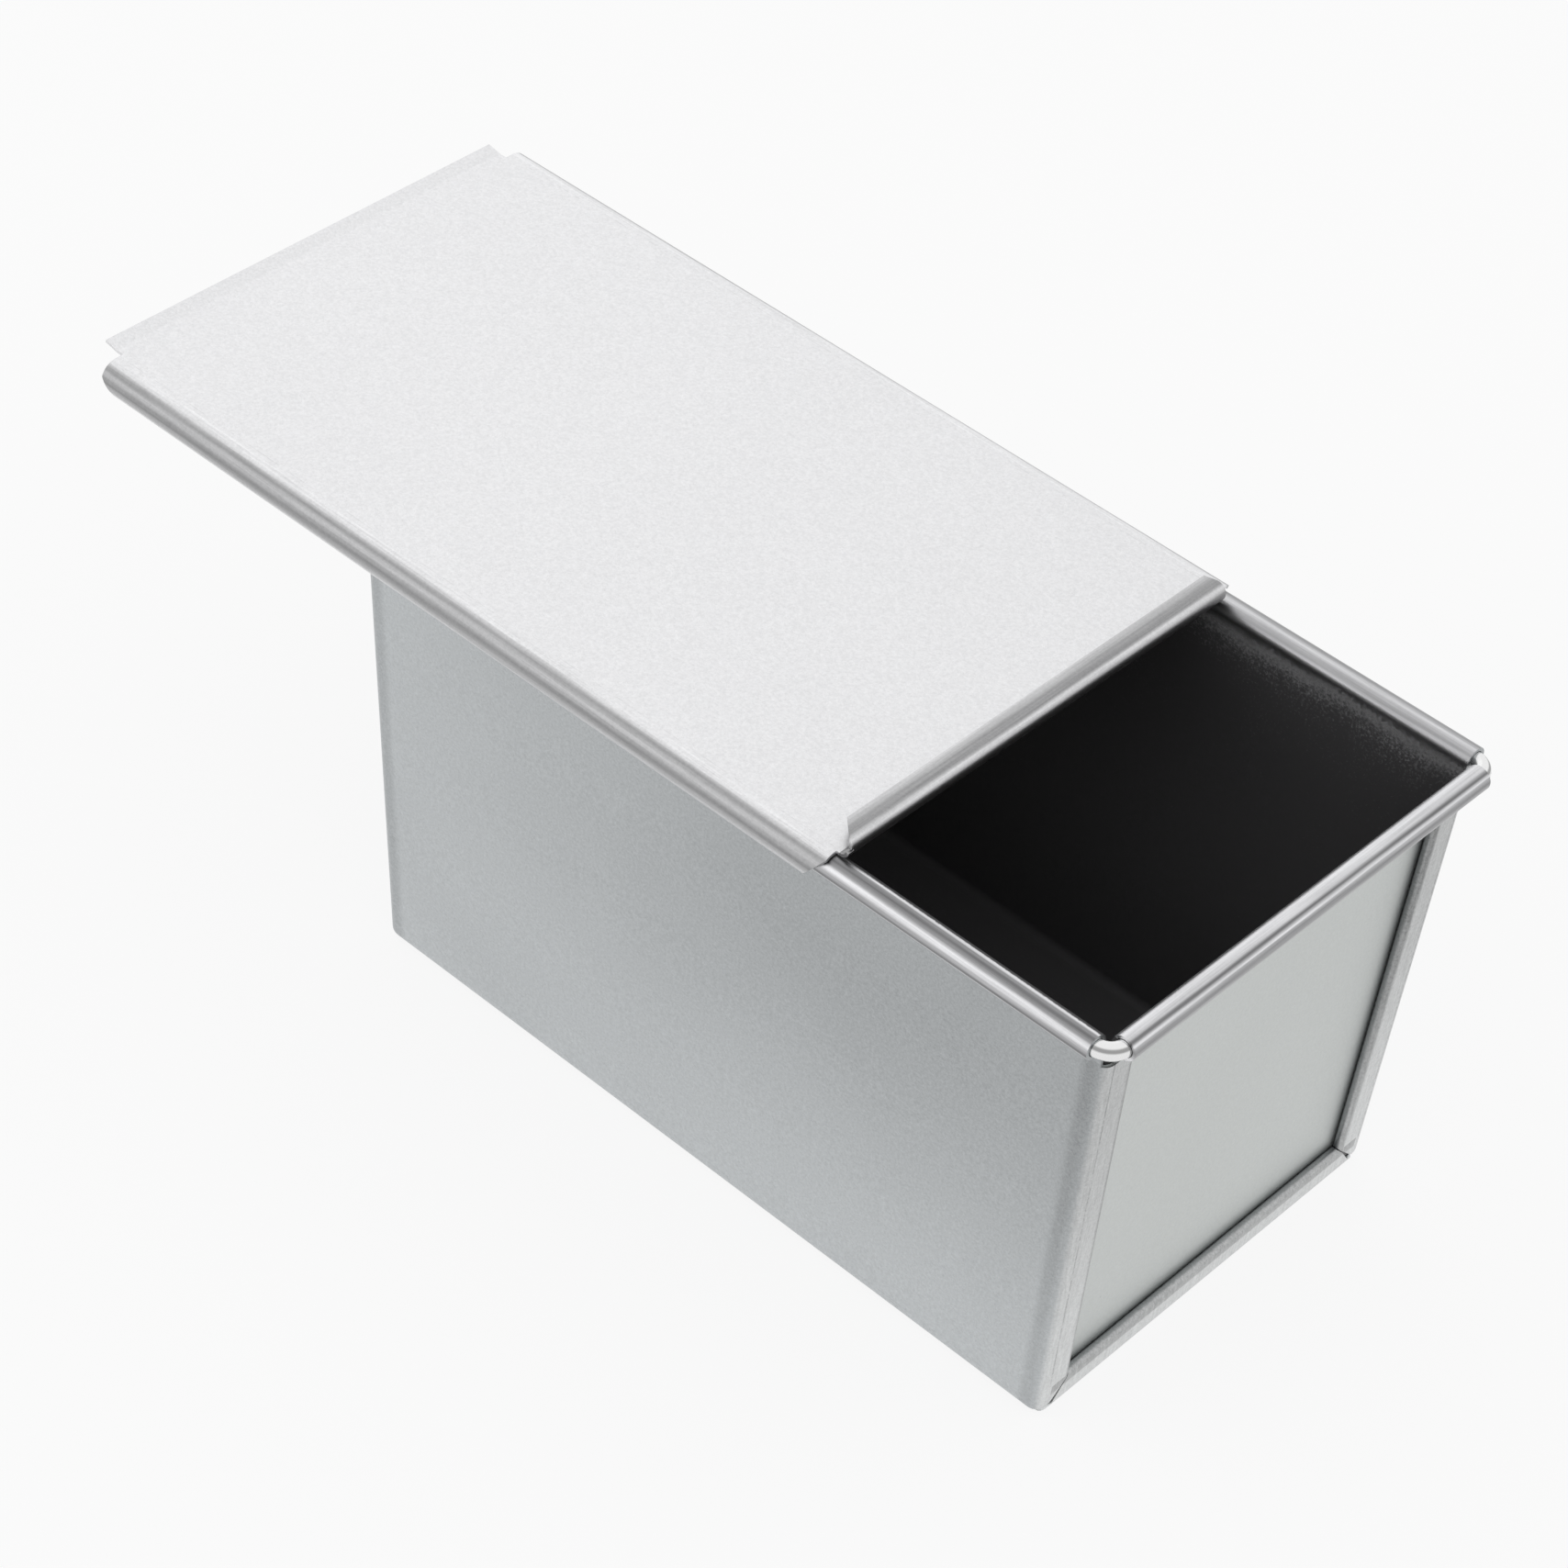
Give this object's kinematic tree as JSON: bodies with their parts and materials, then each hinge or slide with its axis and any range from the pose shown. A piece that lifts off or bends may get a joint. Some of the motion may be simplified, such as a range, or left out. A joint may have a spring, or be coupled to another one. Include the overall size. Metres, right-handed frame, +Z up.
{
  "type": "pullman loaf pan",
  "caption": "Straight-sided folded sheet-metal bread pan with a dark non-stick inside, a wired rim and a flat hooked lid that slides along the long rim beads.",
  "frame": {"origin": "middle of the pan's flat underside", "axes": "+X along the pan towards the end that the lid leaves open, +Y across the pan, +Z up"},
  "size_m": [0.2805, 0.1224, 0.118],
  "materials": {
    "pan_sheet": "aluminised steel, satin outside, sprayed with a dark non-stick coating inside",
    "end_sheet": "aluminised steel, satin outside, sprayed with a dark non-stick coating inside",
    "rim_wire": "bright drawn wire",
    "lid_sheet": "aluminised steel, satin with a fine speckled grain"
  },
  "bodies": {
    "pan": {"body_sheet": "pan_sheet", "near_end_panel": "end_sheet", "far_end_panel": "end_sheet", "rim_wire": "rim_wire"},
    "lid": {"sliding_lid": "lid_sheet"}
  },
  "joints": [
    {"name": "lid_slide", "type": "slide", "parent": "pan", "child": "lid", "axis": [1, 0, 0], "range_m": [-0.119, 0.06945]}
  ]
}
